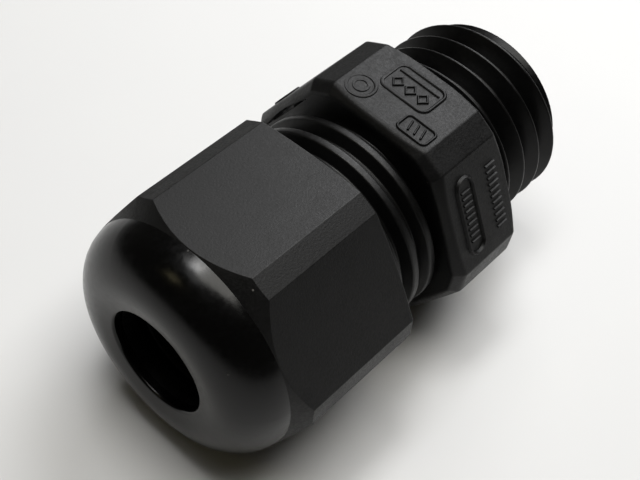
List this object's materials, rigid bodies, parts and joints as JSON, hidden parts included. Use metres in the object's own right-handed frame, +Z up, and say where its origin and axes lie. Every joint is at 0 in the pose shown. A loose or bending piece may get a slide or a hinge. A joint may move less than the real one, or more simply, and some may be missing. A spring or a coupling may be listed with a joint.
{
  "type": "cable gland",
  "caption": "Lying cable gland of black plastic: a domed clamping nut screwed on a hexagonal body with a short mounting thread, with a sealing insert and clamping fingers inside.",
  "frame": {"origin": "middle of the footprint, at the height of the surface that the gland lies on", "axes": "+X along the gland's axis from the mouth of the dome nut to the end of the mounting thread, +Z up with the gland lying on its hexagons, +Y completes the right-handed frame"},
  "size_m": [0.0286, 0.0162, 0.015],
  "materials": {
    "body": "fine eroded grain on the hexagon, smoother on the threads",
    "nut": "fine eroded grain on the flats, glossy dome",
    "seal": "dull",
    "fingers": "smooth moulded"
  },
  "bodies": {
    "gland_body": {"gland_body": "body"},
    "sealing_insert": {"sealing_insert": "seal"},
    "dome_nut": {"dome_nut": "nut"},
    "clamping_finger_01": {"clamping_finger_01": "fingers"},
    "clamping_finger_02": {"clamping_finger_02": "fingers"},
    "clamping_finger_03": {"clamping_finger_03": "fingers"},
    "clamping_finger_04": {"clamping_finger_04": "fingers"},
    "clamping_finger_05": {"clamping_finger_05": "fingers"},
    "clamping_finger_06": {"clamping_finger_06": "fingers"},
    "clamping_finger_07": {"clamping_finger_07": "fingers"},
    "clamping_finger_08": {"clamping_finger_08": "fingers"},
    "clamping_finger_09": {"clamping_finger_09": "fingers"},
    "clamping_finger_10": {"clamping_finger_10": "fingers"},
    "clamping_finger_11": {"clamping_finger_11": "fingers"},
    "clamping_finger_12": {"clamping_finger_12": "fingers"}
  },
  "joints": [
    {"name": "cap_travel", "type": "slide", "parent": "gland_body", "child": "sealing_insert", "axis": [1, 0, 0], "range_m": [-0.0014, 0.0028], "deforming": ["sealing_insert"]},
    {"name": "cap_turn", "type": "hinge", "parent": "sealing_insert", "child": "dome_nut", "pos_m": [0, 0, 0.00748], "axis": [1, 0, 0], "range_deg": [-360, 720]},
    {"name": "finger_bend_01", "type": "hinge", "parent": "gland_body", "child": "clamping_finger_01", "pos_m": [-0.00528, 0.00018, 0.01218], "axis": [0, -0.9992, 0.0392], "range_deg": [-5, 10]},
    {"name": "finger_bend_02", "type": "hinge", "parent": "gland_body", "child": "clamping_finger_02", "pos_m": [-0.00528, -0.00219, 0.01164], "axis": [0, -0.885, -0.4656], "range_deg": [-5, 10]},
    {"name": "finger_bend_03", "type": "hinge", "parent": "gland_body", "child": "clamping_finger_03", "pos_m": [-0.00528, -0.00398, 0.00999], "axis": [0, -0.5336, -0.8457], "range_deg": [-5, 10]},
    {"name": "finger_bend_04", "type": "hinge", "parent": "gland_body", "child": "clamping_finger_04", "pos_m": [-0.00528, -0.0047, 0.00766], "axis": [0, -0.0392, -0.9992], "range_deg": [-5, 10]},
    {"name": "finger_bend_05", "type": "hinge", "parent": "gland_body", "child": "clamping_finger_05", "pos_m": [-0.00528, -0.00416, 0.00529], "axis": [0, 0.4656, -0.885], "range_deg": [-5, 10]},
    {"name": "finger_bend_06", "type": "hinge", "parent": "gland_body", "child": "clamping_finger_06", "pos_m": [-0.00528, -0.00251, 0.00351], "axis": [0, 0.8457, -0.5336], "range_deg": [-5, 10]},
    {"name": "finger_bend_07", "type": "hinge", "parent": "gland_body", "child": "clamping_finger_07", "pos_m": [-0.00528, -0.00018, 0.00278], "axis": [0, 0.9992, -0.0392], "range_deg": [-5, 10]},
    {"name": "finger_bend_08", "type": "hinge", "parent": "gland_body", "child": "clamping_finger_08", "pos_m": [-0.00528, 0.00219, 0.00332], "axis": [0, 0.885, 0.4656], "range_deg": [-5, 10]},
    {"name": "finger_bend_09", "type": "hinge", "parent": "gland_body", "child": "clamping_finger_09", "pos_m": [-0.00528, 0.00398, 0.00497], "axis": [0, 0.5336, 0.8457], "range_deg": [-5, 10]},
    {"name": "finger_bend_10", "type": "hinge", "parent": "gland_body", "child": "clamping_finger_10", "pos_m": [-0.00528, 0.0047, 0.0073], "axis": [0, 0.0392, 0.9992], "range_deg": [-5, 10]},
    {"name": "finger_bend_11", "type": "hinge", "parent": "gland_body", "child": "clamping_finger_11", "pos_m": [-0.00528, 0.00416, 0.00967], "axis": [0, -0.4656, 0.885], "range_deg": [-5, 10]},
    {"name": "finger_bend_12", "type": "hinge", "parent": "gland_body", "child": "clamping_finger_12", "pos_m": [-0.00528, 0.00251, 0.01146], "axis": [0, -0.8457, 0.5336], "range_deg": [-5, 10]}
  ],
  "couplings": [
    {"joint": "cap_travel", "follows": "cap_turn", "m_per_rad": 0.00022282},
    {"joint": "finger_bend_01", "follows": "cap_turn", "ratio": 0.013889},
    {"joint": "finger_bend_02", "follows": "cap_turn", "ratio": 0.013889},
    {"joint": "finger_bend_03", "follows": "cap_turn", "ratio": 0.013889},
    {"joint": "finger_bend_04", "follows": "cap_turn", "ratio": 0.013889},
    {"joint": "finger_bend_05", "follows": "cap_turn", "ratio": 0.013889},
    {"joint": "finger_bend_06", "follows": "cap_turn", "ratio": 0.013889},
    {"joint": "finger_bend_07", "follows": "cap_turn", "ratio": 0.013889},
    {"joint": "finger_bend_08", "follows": "cap_turn", "ratio": 0.013889},
    {"joint": "finger_bend_09", "follows": "cap_turn", "ratio": 0.013889},
    {"joint": "finger_bend_10", "follows": "cap_turn", "ratio": 0.013889},
    {"joint": "finger_bend_11", "follows": "cap_turn", "ratio": 0.013889},
    {"joint": "finger_bend_12", "follows": "cap_turn", "ratio": 0.013889}
  ]
}
